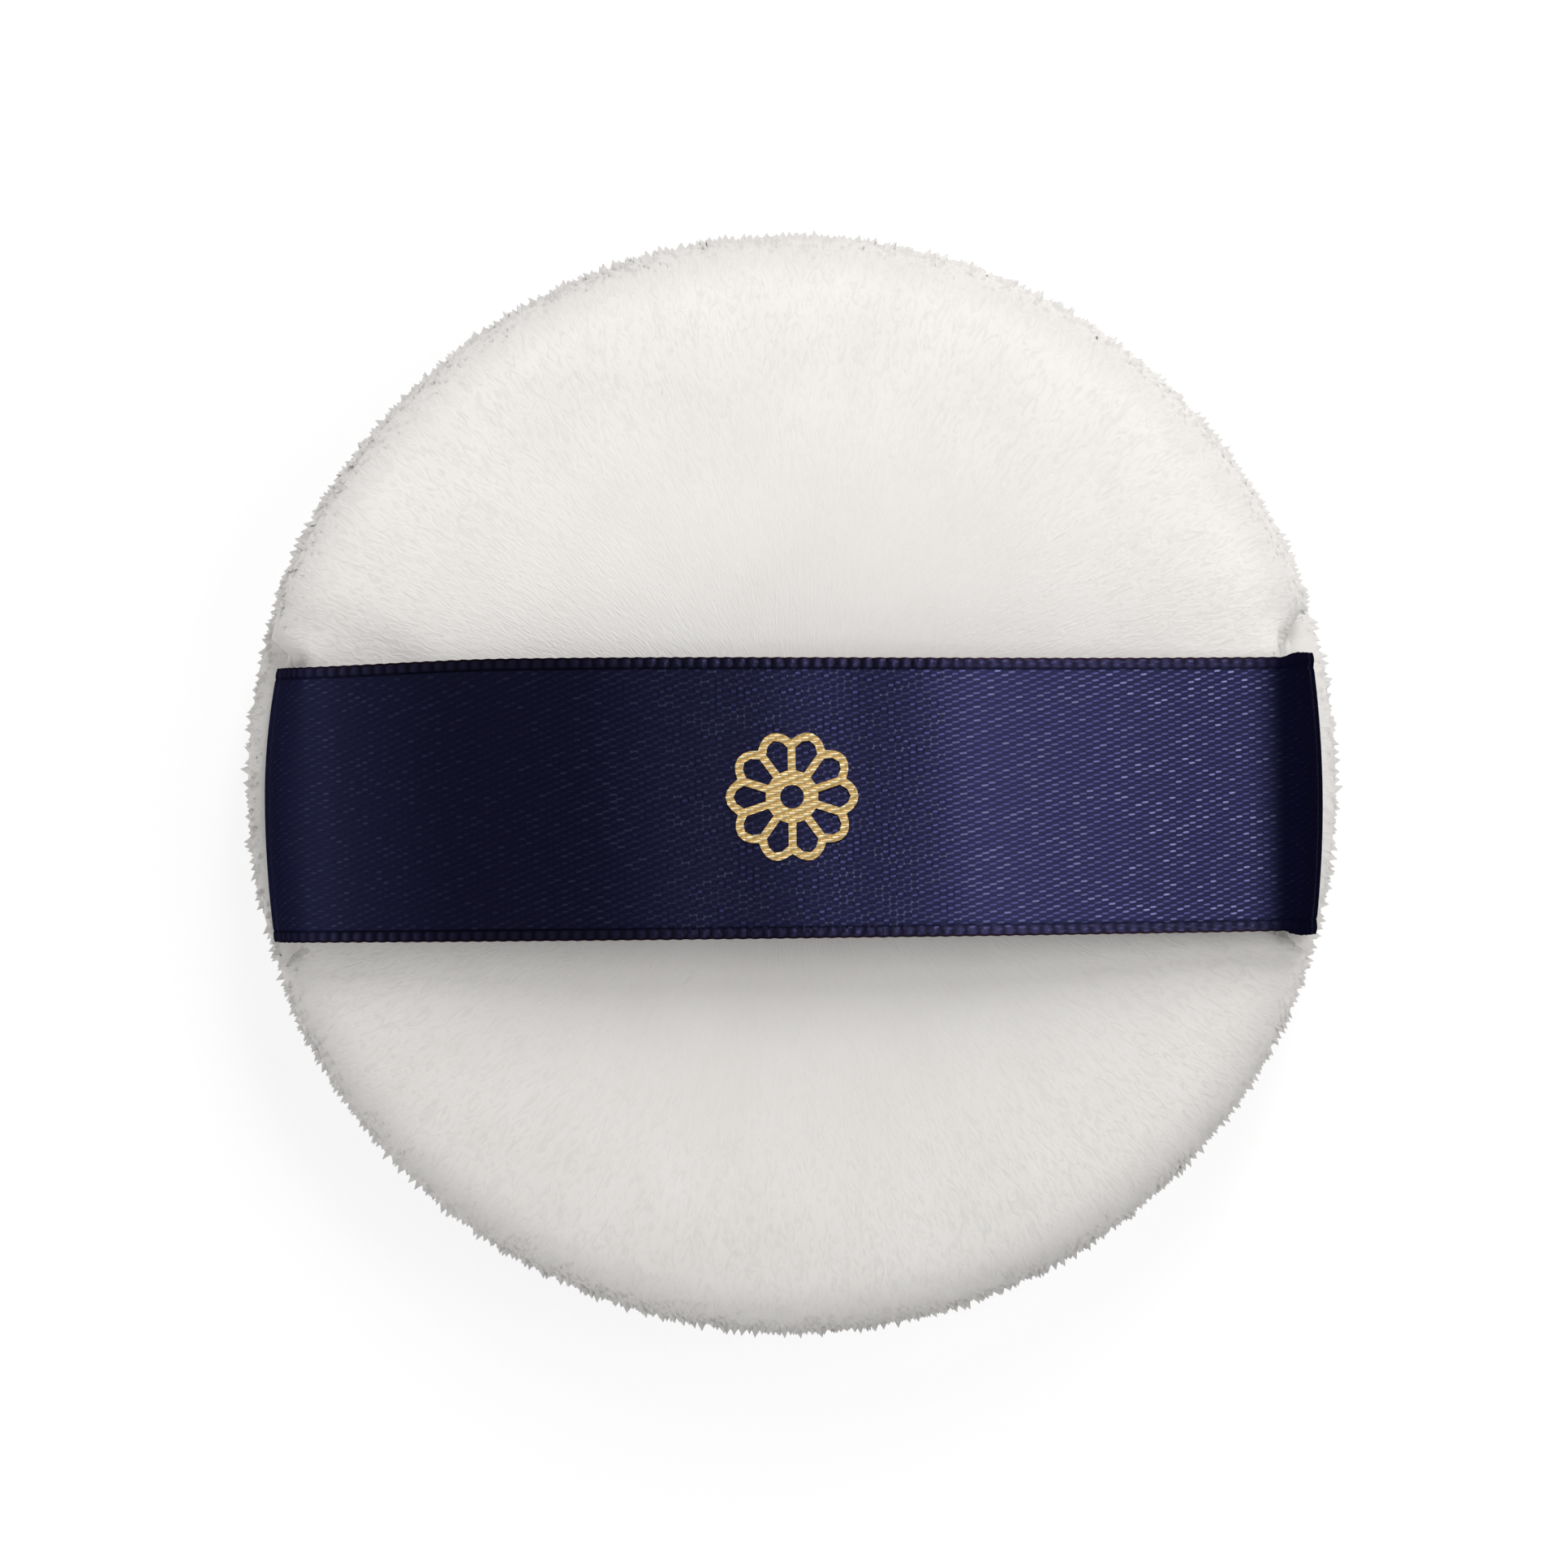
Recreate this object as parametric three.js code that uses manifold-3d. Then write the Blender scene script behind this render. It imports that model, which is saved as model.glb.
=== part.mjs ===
// A round powder puff: two velour covers sewn together over a foam core, with a satin ribbon across
// the back as a finger loop. Millimetres, +Z up. The puff lies on its working face at z = 0, centred
// on the origin, and the ribbon runs along X.
import * as THREE from "three";
import { mergeVertices } from "three/addons/utils/BufferGeometryUtils.js";
import Module from "manifold-3d";

const wasm = await Module();
wasm.setup();

// Cushion
const puffDiameter = 79.6; // over the pile, before the seam draws the sides in
const backHeight = 7.8; // crown of the back above the seam
const faceDepth = 8.0; // crown of the working face below the seam, before it rests
const restFlat = 0.5; // how far the working face is pressed flat where it lies
const roundness = 2.5; // of the section: 2 is an ellipse, more is squarer
const grooveDepth = 1.4; // how far the sides draw in to the seam
const grooveReach = 1.2; // height over which they do

// Velour fabric and the allowances turned in at the seam
const velourThickness = 2.0; // backing and pile together
const allowanceWidth = 5.0;
const allowanceThickness = 1.0; // the pile is crushed there

// Ribbon
const ribbonWidth = 20.0;
const ribbonThickness = 0.35;
const ribbonOffset = 0.9; // sewn this far off the puff's middle, to -Y
const ribbonInset = 1.9; // from the widest of the puff in to the ribbon where it rises at the side
const ribbonLean = 0.4; // how far its top leans inwards over the side
const ribbonRise = 2.0; // height above the seam at which it begins to bend over
const shoulderRadius = 5.5; // bend from the side to the free span
const seamBendRadius = 0.6; // bend from the seam up the side
const flatLength = 10.8; // level middle of the free span, which carries the foil
const spanSlope = THREE.MathUtils.degToRad(22); // of the free span at its ends
const endBow = 0.6; // how much the fold follows the round seam
const tabLength = 4.4; // ribbon caught between the allowances

// Where the ribbon draws the cushion in
const pullReach = 12.0; // length over which the pull grows, from the middle out to the stitches
const pullMargin = 0.5; // full pull goes on past the ribbon's edge
const pullFade = 6.0; // and then fades over this length
const lipReach = 2.0; // below the seam the working face bulges out again within this height

// Threads
const threadDiameter = 0.3;
const threadWave = 0.1; // rise and fall of a stitch along its row
const stitchLength = 3.0;
const seamInset = 2.4; // from the edge of the pile to the row of stitches
const closingLength = 36.0; // gap through which the puff was turned
const closingPitch = 2.4; // from rung to rung of the ladder stitch
const closingRung = 1.1; // height of a rung across the seam
const tackInset = 1.8; // from the seam's row to the tacking row, inwards
const tackLength = 16.0;
const tackStitch = 2.8;

// Gold foil rosette
const foilDiameter = 9.4;
const foilThickness = 0.12;
const foilLine = 0.55; // width of its lines
const petalWidth = 2.9; // at the rim
const scallopShare = 0.14; // depth of the scallops, of the rosette's radius
const eyeShare = 0.4; // radius of its eye, of the rosette's radius
const eyeHoleShare = 0.18; // and of the hole in the eye

// Clearances
const seat = 0.3; // left between pieces that lie against each other
const coreSeat = 0.6; // left round the foam core, inside the covers
const overrun = 2.0; // a cutting tool goes past what it cuts
const mergeDistance = 0.0005;

// Mesh fineness
const turnSegments = 60;
const outerSteps = 11;
const innerSteps = 7;
const bendSteps = 6;
const spanSteps = 10;
const widthSteps = 4;
const threadSides = 4;
const seamStitchSteps = 3;
const looseStitchSteps = 4;
const rimSteps = 6;

// Places that follow from the sizes above. Heights are taken from the seam.
const seamHeight = faceDepth - restFlat;
const puffRadius = puffDiameter / 2;
const coverEdge = puffRadius - grooveDepth;
const allowanceEdge = coverEdge - allowanceWidth;
const cavityRadius = puffRadius - velourThickness;
const ribbonReach = puffRadius - ribbonInset;
const ribbonPull = ribbonInset + seat;
const pullOuter = coverEdge - seamInset;
const threadRadius = threadDiameter / 2;
const threadHeight = allowanceThickness + seat + threadRadius + threadWave;
const spanReach = ribbonReach - ribbonLean - shoulderRadius * (1 - Math.sin(spanSlope));
const spanEndHeight = ribbonRise + shoulderRadius * Math.cos(spanSlope);
const spanHeight = spanEndHeight + (Math.tan(spanSlope) * (spanReach - flatLength / 2)) / 2;

const velour = { color: 0xf1eee9, roughness: 0.95 };
const foam = { color: 0xf3efe2, roughness: 0.9 };
const satin = { color: 0x1f2047, roughness: 0.4 };
const foil = { color: 0xe3bd72, roughness: 0.28, metalness: 1 };
const thread = { color: 0xf2f0ea, roughness: 0.7 };

function piece(name, geometry, finish) {
  const mesh = new THREE.Mesh(geometry, new THREE.MeshStandardMaterial(finish));
  mesh.name = name;
  return mesh;
}

function smoothStep(low, high, value) {
  return THREE.MathUtils.smoothstep(value, low, high);
}

function movePoints(geometry, move) {
  const position = geometry.attributes.position;
  const point = new THREE.Vector3();
  for (let i = 0; i < position.count; i += 1) {
    point.fromBufferAttribute(position, i);
    move(point);
    position.setXYZ(i, point.x, point.y, point.z);
  }
  return geometry;
}

// Moves a point of the cushion to where the ribbon's taut ends pull it, along X to the middle.
function drawIn(point) {
  const edge = ribbonWidth / 2 + pullMargin;
  const acrossShare = 1 - smoothStep(edge, edge + pullFade, Math.abs(point.y + ribbonOffset));
  const distance = Math.hypot(point.x, point.y);
  const outwardShare = smoothStep(pullOuter - pullReach, pullOuter, distance);
  const upwardShare = smoothStep(-lipReach, 0, point.z);
  point.x -= Math.sign(point.x) * ribbonPull * acrossShare * outwardShare * upwardShare;
  return point;
}

// Section of half a cushion, from a first height above the seam to the crown on the axis.
function domePoints(radius, height, firstHeight, groove, steps) {
  const firstAngle = Math.asin((firstHeight / height) ** (roundness / 2));
  const points = [];
  for (let i = 0; i < steps; i += 1) {
    const angle = firstAngle + ((Math.PI / 2 - firstAngle) * i) / steps;
    const rise = height * Math.sin(angle) ** (2 / roundness);
    const drawn = groove * Math.exp(-((rise / grooveReach) ** 2));
    points.push(new THREE.Vector2(radius * Math.cos(angle) ** (2 / roundness) - drawn, rise));
  }
  points.push(new THREE.Vector2(0, height));
  return points;
}

// Turns a section about Z. Its points are distances from the axis and heights above the seam, and
// they run anticlockwise round the solid, so that its faces point out.
function turned(section) {
  return new THREE.LatheGeometry(section, turnSegments).rotateX(Math.PI / 2);
}

// One velour cover: a dome of fabric whose edge turns in flat at the seam.
function coverGeometry(height) {
  const innerHeight = height - velourThickness;
  const inner = domePoints(cavityRadius, innerHeight, allowanceThickness, 0, innerSteps);
  return turned([
    ...inner.reverse(),
    new THREE.Vector2(allowanceEdge, allowanceThickness),
    new THREE.Vector2(allowanceEdge, 0),
    ...domePoints(puffRadius, height, 0, grooveDepth, outerSteps),
  ]);
}

// The working face is the same cover upside down, pressed flat where the puff lies on it.
function workingFaceGeometry() {
  const face = coverGeometry(faceDepth).rotateX(Math.PI);
  movePoints(face, (point) => {
    point.z = Math.max(point.z, -seamHeight);
  });
  return movePoints(face, drawIn);
}

function solidOf(geometry) {
  const bare = geometry.clone();
  bare.deleteAttribute("normal");
  bare.deleteAttribute("uv");
  const merged = mergeVertices(bare, mergeDistance);
  return new wasm.Manifold(
    new wasm.Mesh({
      numProp: 3,
      vertProperties: merged.attributes.position.array,
      triVerts: new Uint32Array(merged.index.array),
    }),
  );
}

function geometryOf(solid) {
  const mesh = solid.getMesh();
  const geometry = new THREE.BufferGeometry();
  geometry.setAttribute("position", new THREE.BufferAttribute(mesh.vertProperties, 3));
  geometry.setIndex(new THREE.BufferAttribute(mesh.triVerts, 1));
  geometry.computeVertexNormals();
  return geometry;
}

// The ribbon's tabs lie in pockets pressed into the back cover's allowance.
function backCoverGeometry() {
  const pocketWidth = ribbonWidth + 2 * seat;
  const pocketHeight = ribbonThickness + seat;
  const pocketLength = allowanceWidth + ribbonPull + grooveDepth + overrun;
  let cover = solidOf(movePoints(coverGeometry(backHeight), drawIn));
  for (const side of [-1, 1]) {
    const pocket = new THREE.BoxGeometry(pocketLength, pocketWidth, pocketHeight + overrun);
    const middle = side * (puffRadius + overrun - pocketLength / 2);
    pocket.translate(middle, -ribbonOffset, (pocketHeight - overrun) / 2);
    cover = cover.subtract(solidOf(pocket));
  }
  return geometryOf(cover);
}

// The foam fills both covers, with a slot round its edge for the allowances and their threads.
function coreGeometry() {
  const radius = cavityRadius - coreSeat;
  const slotHalf = threadHeight + threadRadius + threadWave + seat;
  const slotRadius = allowanceEdge - coreSeat;
  const half = (height) =>
    domePoints(radius, height - velourThickness - coreSeat, slotHalf, 0, innerSteps);
  const below = half(faceDepth).map((point) => new THREE.Vector2(point.x, -point.y));
  const slot = [-slotHalf, -allowanceThickness, 0, slotHalf].map(
    (height) => new THREE.Vector2(slotRadius, height),
  );
  return movePoints(turned([...below.reverse(), ...slot, ...half(backHeight)]), drawIn);
}

// A band as thick and as wide as the ribbon, its width along Y, on a path in the XZ plane.
function bandGeometry(path, divisions) {
  const points = path.getPoints(divisions);
  const left = [];
  const right = [];
  points.forEach((point, i) => {
    const before = points[Math.max(i - 1, 0)];
    const after = points[Math.min(i + 1, points.length - 1)];
    const normal = new THREE.Vector2(before.y - after.y, after.x - before.x).normalize();
    left.push(point.clone().addScaledVector(normal, ribbonThickness / 2));
    right.push(point.clone().addScaledVector(normal, -ribbonThickness / 2));
  });
  const band = new THREE.ExtrudeGeometry(new THREE.Shape([...right, ...left.reverse()]), {
    depth: ribbonWidth,
    steps: widthSteps,
    bevelEnabled: false,
  });
  return band.rotateX(Math.PI / 2).translate(0, ribbonWidth / 2, 0);
}

// The free span is level in the middle and falls as a parabola on both sides.
function strapGeometry() {
  const end = spanReach - seat / 2;
  const level = flatLength / 2;
  const control = (end + level) / 2;
  const path = new THREE.Path();
  path.moveTo(-end, spanEndHeight);
  path.quadraticCurveTo(-control, spanHeight, -level, spanHeight);
  path.lineTo(level, spanHeight);
  path.quadraticCurveTo(control, spanHeight, end, spanEndHeight);
  return bandGeometry(path, spanSteps);
}

// The right end bends over the side, drops to the seam and turns in between the allowances.
function ribbonEndGeometry() {
  const start = spanReach + seat / 2;
  const shoulder = ribbonReach - ribbonLean - shoulderRadius;
  const startAngle = Math.acos((start - shoulder) / shoulderRadius);
  const tabHeight = ribbonThickness / 2;
  const seamBend = ribbonReach - seamBendRadius;
  const path = new THREE.Path();
  path.absarc(shoulder, ribbonRise, shoulderRadius, startAngle, 0, true);
  path.lineTo(ribbonReach, tabHeight + seamBendRadius);
  path.absarc(seamBend, tabHeight + seamBendRadius, seamBendRadius, 0, -Math.PI / 2, true);
  path.lineTo(seamBend - tabLength, tabHeight);
  return movePoints(bandGeometry(path, bendSteps), (point) => {
    const outwardShare = smoothStep(spanReach, ribbonReach, point.x);
    point.x -= endBow * outwardShare * ((2 * point.y) / ribbonWidth) ** 2;
  });
}

// A machine-sewn thread all round the puff, on one side of the allowances.
class SeamThread extends THREE.Curve {
  constructor(side) {
    super();
    this.side = side;
    this.radius = coverEdge - seamInset;
    this.stitches = Math.round((2 * Math.PI * this.radius) / stitchLength);
  }

  getPoint(share, target = new THREE.Vector3()) {
    const angle = 2 * Math.PI * share;
    const height = threadHeight + threadWave * Math.cos(this.stitches * angle);
    target.set(this.radius * Math.cos(angle), this.radius * Math.sin(angle), this.side * height);
    return drawIn(target);
  }
}

// The ladder stitch that closes the turning gap zigzags across the seam, in its groove.
class ClosingThread extends THREE.Curve {
  constructor() {
    super();
    this.stitches = Math.round(closingLength / closingPitch);
    const groove = grooveDepth * Math.exp(-((closingRung / 2 / grooveReach) ** 2));
    this.radius = puffRadius - groove + seat + threadRadius;
  }

  getPoint(share, target = new THREE.Vector3()) {
    const angle = -Math.PI / 2 + ((share - 1 / 2) * closingLength) / this.radius;
    const height = (closingRung / 2) * Math.cos(Math.PI * this.stitches * share);
    return target.set(this.radius * Math.cos(angle), this.radius * Math.sin(angle), height);
  }
}

// A short row of stitches inside the seam holds the ribbon's tab on the allowance.
class TackThread extends THREE.Curve {
  constructor(side) {
    super();
    this.reach = side * (coverEdge - seamInset - ribbonPull - tackInset);
    this.stitches = Math.round(tackLength / tackStitch);
  }

  getPoint(share, target = new THREE.Vector3()) {
    const height = threadHeight + threadWave * Math.cos(2 * Math.PI * this.stitches * share);
    return target.set(this.reach, (share - 1 / 2) * tackLength - ribbonOffset, height);
  }
}

function ringThreadGeometry(curve) {
  const steps = curve.stitches * seamStitchSteps;
  return new THREE.TubeGeometry(curve, steps, threadRadius, threadSides, true);
}

function openThreadGeometry(curve) {
  const corners = [];
  for (let i = 0; i < threadSides; i += 1) {
    const angle = (2 * Math.PI * i) / threadSides;
    corners.push(new THREE.Vector2(Math.cos(angle), Math.sin(angle)).multiplyScalar(threadRadius));
  }
  return new THREE.ExtrudeGeometry(new THREE.Shape(corners), {
    steps: curve.stitches * looseStitchSteps,
    extrudePath: curve,
    bevelEnabled: false,
  });
}

// A flower in line work: a scalloped rim, a line between each two petals and a ring for an eye.
function rosetteGeometry() {
  const radius = foilDiameter / 2;
  const eye = radius * eyeShare;
  const petals = Math.round((Math.PI * foilDiameter) / petalWidth);
  const petalHalf = Math.PI / petals;
  const polar = (distance, angle) =>
    new THREE.Vector2(Math.cos(angle), Math.sin(angle)).multiplyScalar(distance);
  const rimAt = (angle) =>
    radius * (1 - scallopShare * (1 - Math.abs(Math.cos((petals * angle) / 2))));
  const rim = [];
  for (let i = 0; i < petals * rimSteps; i += 1) {
    const angle = (2 * Math.PI * i) / (petals * rimSteps);
    rim.push(polar(rimAt(angle), angle));
  }
  const rosette = new THREE.Shape(rim);
  for (let i = 0; i < petals; i += 1) {
    const middle = 2 * petalHalf * i;
    const cell = [];
    for (const share of [-1, -1 / 2, 0, 1 / 2, 1]) {
      const distance = rimAt(middle + share * petalHalf) - foilLine;
      const lineHalf = Math.asin(foilLine / 2 / distance);
      cell.push(polar(distance, middle + share * (petalHalf - lineHalf)));
    }
    const eyeHalf = petalHalf - Math.asin(foilLine / 2 / eye);
    cell.push(polar(eye, middle + eyeHalf), polar(eye, middle - eyeHalf));
    rosette.holes.push(new THREE.Path(cell));
  }
  const eyeHole = new THREE.Path();
  eyeHole.absarc(0, 0, radius * eyeHoleShare, 0, 2 * Math.PI);
  rosette.holes.push(new THREE.Path(eyeHole.getPoints(petals).slice(0, -1)));
  return new THREE.ExtrudeGeometry(rosette, { depth: foilThickness, bevelEnabled: false });
}

const cushion = new THREE.Group();
cushion.add(
  piece("back_cover", backCoverGeometry(), velour),
  piece("working_face_cover", workingFaceGeometry(), velour),
  piece("foam_core", coreGeometry(), foam),
  piece("seam_needle_thread", ringThreadGeometry(new SeamThread(1)), thread),
  piece("seam_bobbin_thread", ringThreadGeometry(new SeamThread(-1)), thread),
  piece("closing_thread", openThreadGeometry(new ClosingThread()), thread),
  piece("ribbon_tack_left", openThreadGeometry(new TackThread(-1)), thread),
  piece("ribbon_tack_right", openThreadGeometry(new TackThread(1)), thread),
);

const leftEnd = piece("ribbon_end_left", ribbonEndGeometry(), satin);
leftEnd.rotation.z = Math.PI;
const rosette = piece("foil_rosette", rosetteGeometry(), foil);
rosette.position.z = spanHeight + ribbonThickness / 2;
const ribbon = new THREE.Group();
ribbon.position.y = -ribbonOffset;
ribbon.add(
  leftEnd,
  piece("ribbon_end_right", ribbonEndGeometry(), satin),
  piece("ribbon_strap", strapGeometry(), satin),
  rosette,
);

// Everything is built about the seam, so the seam's height lifts it onto the ground.
const puff = new THREE.Group();
puff.position.z = seamHeight;
puff.add(cushion, ribbon);

export default puff;
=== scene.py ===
import bpy
import numpy as np
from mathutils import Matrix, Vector


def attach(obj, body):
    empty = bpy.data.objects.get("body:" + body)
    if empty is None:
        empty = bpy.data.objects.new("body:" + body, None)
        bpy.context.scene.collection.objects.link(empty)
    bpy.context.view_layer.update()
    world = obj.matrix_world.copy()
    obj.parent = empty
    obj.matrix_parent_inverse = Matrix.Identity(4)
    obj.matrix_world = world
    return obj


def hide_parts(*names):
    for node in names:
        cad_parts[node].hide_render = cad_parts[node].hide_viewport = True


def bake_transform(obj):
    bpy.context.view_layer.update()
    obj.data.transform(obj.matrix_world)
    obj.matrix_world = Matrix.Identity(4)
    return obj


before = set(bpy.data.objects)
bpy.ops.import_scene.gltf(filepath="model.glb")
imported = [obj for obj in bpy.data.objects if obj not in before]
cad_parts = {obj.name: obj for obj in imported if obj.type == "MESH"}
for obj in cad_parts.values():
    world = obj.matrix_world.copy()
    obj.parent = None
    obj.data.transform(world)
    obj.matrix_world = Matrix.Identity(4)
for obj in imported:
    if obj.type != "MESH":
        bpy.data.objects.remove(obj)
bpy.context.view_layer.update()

# Foam core: a round pad of soft open-celled foam that fills both covers. It is glued to nothing and
# is kept in place by the seam. It stays the CAD solid, because the covers hide it.
foam_color = (0.86, 0.82, 0.70, 1)
foam_shadow = (0.62, 0.56, 0.42, 1)
foam_cell = 0.0006


def add(tree, kind, inputs=None, **properties):
    """Adds a node with its properties, and its inputs as values or as other nodes' outputs."""
    node = tree.nodes.new(kind)
    for name, value in properties.items():
        setattr(node, name, value)
    for name, value in (inputs or {}).items():
        if isinstance(value, bpy.types.NodeSocket):
            tree.links.new(value, node.inputs[name])
        else:
            node.inputs[name].default_value = value
    return node


def new_finish(name, plain):
    """A material with one Principled shader, and the shader's sockets that are the same all over."""
    material = bpy.data.materials.new(name)
    material.use_nodes = True
    tree = material.node_tree
    shader = tree.nodes["Principled BSDF"]
    for socket, value in plain.items():
        shader.inputs[socket].default_value = value
    return material, tree, shader


def math(tree, operation, *values):
    inputs = dict(enumerate(values))
    return add(tree, "ShaderNodeMath", inputs, operation=operation).outputs[0]


def blend_colors(tree, share, low, high):
    inputs = {0: share, 6: low, 7: high}
    return add(tree, "ShaderNodeMix", inputs, data_type="RGBA").outputs[2]


def ramp(tree, value, start, end, low=0.0, high=1.0, soft=False):
    """A share that goes from low to high while the value goes from start to end."""
    inputs = {"Value": value, "From Min": start, "From Max": end, "To Min": low, "To Max": high}
    kind = "SMOOTHSTEP" if soft else "LINEAR"
    return add(tree, "ShaderNodeMapRange", inputs, interpolation_type=kind).outputs[0]


def bump(tree, height, depth, strength=1.0):
    inputs = {"Strength": strength, "Distance": depth, "Height": height}
    return add(tree, "ShaderNodeBump", inputs).outputs[0]


def finish_node(node_name, material):
    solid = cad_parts[node_name]
    solid.data.materials.clear()
    solid.data.materials.append(material)


foam, tree, shader = new_finish("open_cell_foam", {"Roughness": 0.95})
place = add(tree, "ShaderNodeTexCoord").outputs["Object"]
cells = add(tree, "ShaderNodeTexVoronoi", {"Vector": place, "Scale": 1 / foam_cell})
shade = blend_colors(tree, cells.outputs[0], foam_shadow, foam_color)
tree.links.new(shade, shader.inputs["Base Color"])
tree.links.new(bump(tree, cells.outputs[0], foam_cell), shader.inputs["Normal"])
finish_node("foam_core", foam)

# Covers: two discs of short-piled velour, sewn face to face, turned and filled, so that each is a
# dome with its edge turned in flat at the seam. The ribbon's ends draw both in at the sides, and a
# cloth simulation gives them their fullness and the gathers there.
seam_height = 0.0075
cover_radius = 0.0399
back_height = 0.0074
face_depth = 0.0076
roundness = 2.7
groove_depth = 0.0014
groove_reach = 0.0012
backing_thickness = 0.0010
allowance_width = 0.0044
rest_height = 0.0003
cover_rings = 44
ribbon_width = 0.0200
ribbon_offset = -0.0009
ribbon_thickness = 0.00035
tuck_start = 0.0240
tuck_full = 0.0360
tuck_edge = 0.0002
tuck_fade = 0.0020
loose_tuck_fade = 0.0042
tuck_foot = (-0.0015, 0.0010)
tuck_top = (0.0025, 0.0043)
tuck_depth = 0.0025
slope_start = 0.0180
slope_edge = 0.0005
slope_fade = 0.0062
slope_rise = 0.0040
slope_depths = {(-1, 1): 0.0019, (-1, -1): 0.0008, (1, 1): 0.0012, (1, -1): 0.0010}
allowance_parts = (0.03, 0.35, 1.0)
allowance_lift = 0.0004
gathered_slack = 0.15
fullness_limit = 0.0008
cloth_pressure = 0.15
cloth_frames = 16
workshop_scale = 10


def smooth(low, high, value):
    share = np.clip((value - low) / (high - low), 0, 1)
    return share * share * (3 - 2 * share)


def dome_section(height, share):
    """Distance from the axis and rise over the seam, for shares from 0, the crown, to 1, the seam."""
    angle = np.linspace(np.pi / 2, 0, 600)
    rise = height * np.sin(angle) ** (2 / roundness)
    groove = groove_depth * np.exp(-((rise / groove_reach) ** 2))
    reach = cover_radius * np.abs(np.cos(angle)) ** (2 / roundness) - groove
    length = np.append(0, np.cumsum(np.hypot(np.diff(reach), np.diff(rise))))
    along = (1.25 * share - 0.25 * share**2) * length[-1]
    return np.interp(along, length, np.maximum(reach, 0)), np.interp(along, length, rise)


steps = np.arange(-cover_rings, cover_rings + 1)
column, row = (grid.ravel() for grid in np.meshgrid(steps, steps))
ring_share = np.maximum(abs(column), abs(row)) / cover_rings
wide = abs(column) >= abs(row)
flank = row / np.where(column == 0, 1, column)
front = 2 - column / np.where(row == 0, 1, row)
angle = np.where(wide, flank, front) * np.pi / 4
angle += np.where((wide & (column < 0)) | (~wide & (row < 0)), np.pi, 0)
side = 2 * cover_rings + 1
corner = np.arange(side * side).reshape(side, side)[:-1, :-1].ravel()
dome_faces = np.stack([corner, corner + 1, corner + side + 1, corner + side], 1)
edge_ring = np.flatnonzero(ring_share == 1)
edge_ring = edge_ring[np.argsort(angle[edge_ring] % (2 * np.pi))]


def dome(height, upward):
    reach, rise = dome_section(height, ring_share)
    return np.stack([reach * np.cos(angle), reach * np.sin(angle), upward * rise], 1)


def tucked(points):
    """Draws points in along X to where the ribbon's taut ends hold them, and slopes the corners."""
    x, y, z = points.T
    across = np.abs(y - ribbon_offset) - ribbon_width / 2
    corner_slope = sum(
        depth * (np.sign(x) == right) * smooth(-0.004, 0.004, upper * (y - ribbon_offset))
        for (right, upper), depth in slope_depths.items()
    )
    reach = np.hypot(x, y)
    fade = np.where((x > 0) & (y > ribbon_offset), loose_tuck_fade, tuck_fade)
    held = 1 - smooth(tuck_edge, fade, across)
    held = held * smooth(tuck_start, tuck_full, reach) * smooth(*tuck_foot, z)
    held = held * (1 - smooth(*tuck_top, z))
    sloped = 1 - smooth(slope_edge, slope_fade, across)
    sloped = sloped * smooth(slope_start, tuck_full, reach) * smooth(0, slope_rise, z)
    moved = points.copy()
    moved[:, 0] -= np.sign(x) * np.hypot(tuck_depth * held, corner_slope * sloped)
    return moved


def new_object(name, mesh):
    obj = bpy.data.objects.new(name, mesh)
    bpy.context.collection.objects.link(obj)
    return obj


def mesh_of(name, points, faces):
    mesh = bpy.data.meshes.new(name)
    mesh.from_pydata(points.tolist(), [], [tuple(int(i) for i in face) for face in faces])
    mesh.update()
    return mesh


def plain_copy(obj):
    """The object as its modifiers leave it, in place of itself with no modifier left."""
    bpy.context.view_layer.update()
    graph = bpy.context.evaluated_depsgraph_get()
    mesh = bpy.data.meshes.new_from_object(obj.evaluated_get(graph))
    obj.modifiers.clear()
    obj.data = mesh
    return obj


back_start = dome(back_height, 1)
face_start = dome(face_depth, -1)
inner = np.flatnonzero(ring_share < 1)
face_index = np.arange(side * side)
face_index[inner] = side * side + np.arange(len(inner))
both_faces = np.concatenate([dome_faces, face_index[dome_faces][:, ::-1]])
unsewn = np.concatenate([back_start, face_start[inner]])
sewn = tucked(unsewn)

settled = sewn
swelling = new_object("swelling", mesh_of("swelling", sewn * workshop_scale, both_faces))
seam_line = swelling.vertex_groups.new(name="seam_line")
seam_line.add([int(i) for i in edge_ring], 1.0, "REPLACE")
gathered = swelling.vertex_groups.new(name="gathered")
for i, drawn in enumerate(np.linalg.norm(sewn - unsewn, axis=1)):
    gathered.add([i], float(min(drawn / tuck_depth, 1)), "REPLACE")
cloth = swelling.modifiers.new("cloth", "CLOTH")
cloth.settings.quality = 6
cloth.settings.vertex_group_mass = "seam_line"
cloth.settings.vertex_group_shrink = "gathered"
cloth.settings.shrink_max = -gathered_slack
cloth.settings.bending_stiffness = 0.1
cloth.settings.use_pressure = True
cloth.settings.uniform_pressure_force = cloth_pressure
cloth.settings.effector_weights.gravity = 0
cloth.collision_settings.use_collision = False
for step in range(1, cloth_frames + 1):
    bpy.context.scene.frame_set(step)
plain_copy(swelling)
settled = np.empty((len(sewn), 3), np.float32)
swelling.data.vertices.foreach_get("co", settled.ravel())
settled = settled.astype(float) / workshop_scale
bpy.data.objects.remove(swelling)
bpy.context.scene.frame_set(1)

shift = settled - sewn
length = np.linalg.norm(shift, axis=1)
settled = sewn + shift * (np.minimum(length, fullness_limit) / np.maximum(length, 1e-9))[:, None]


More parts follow.
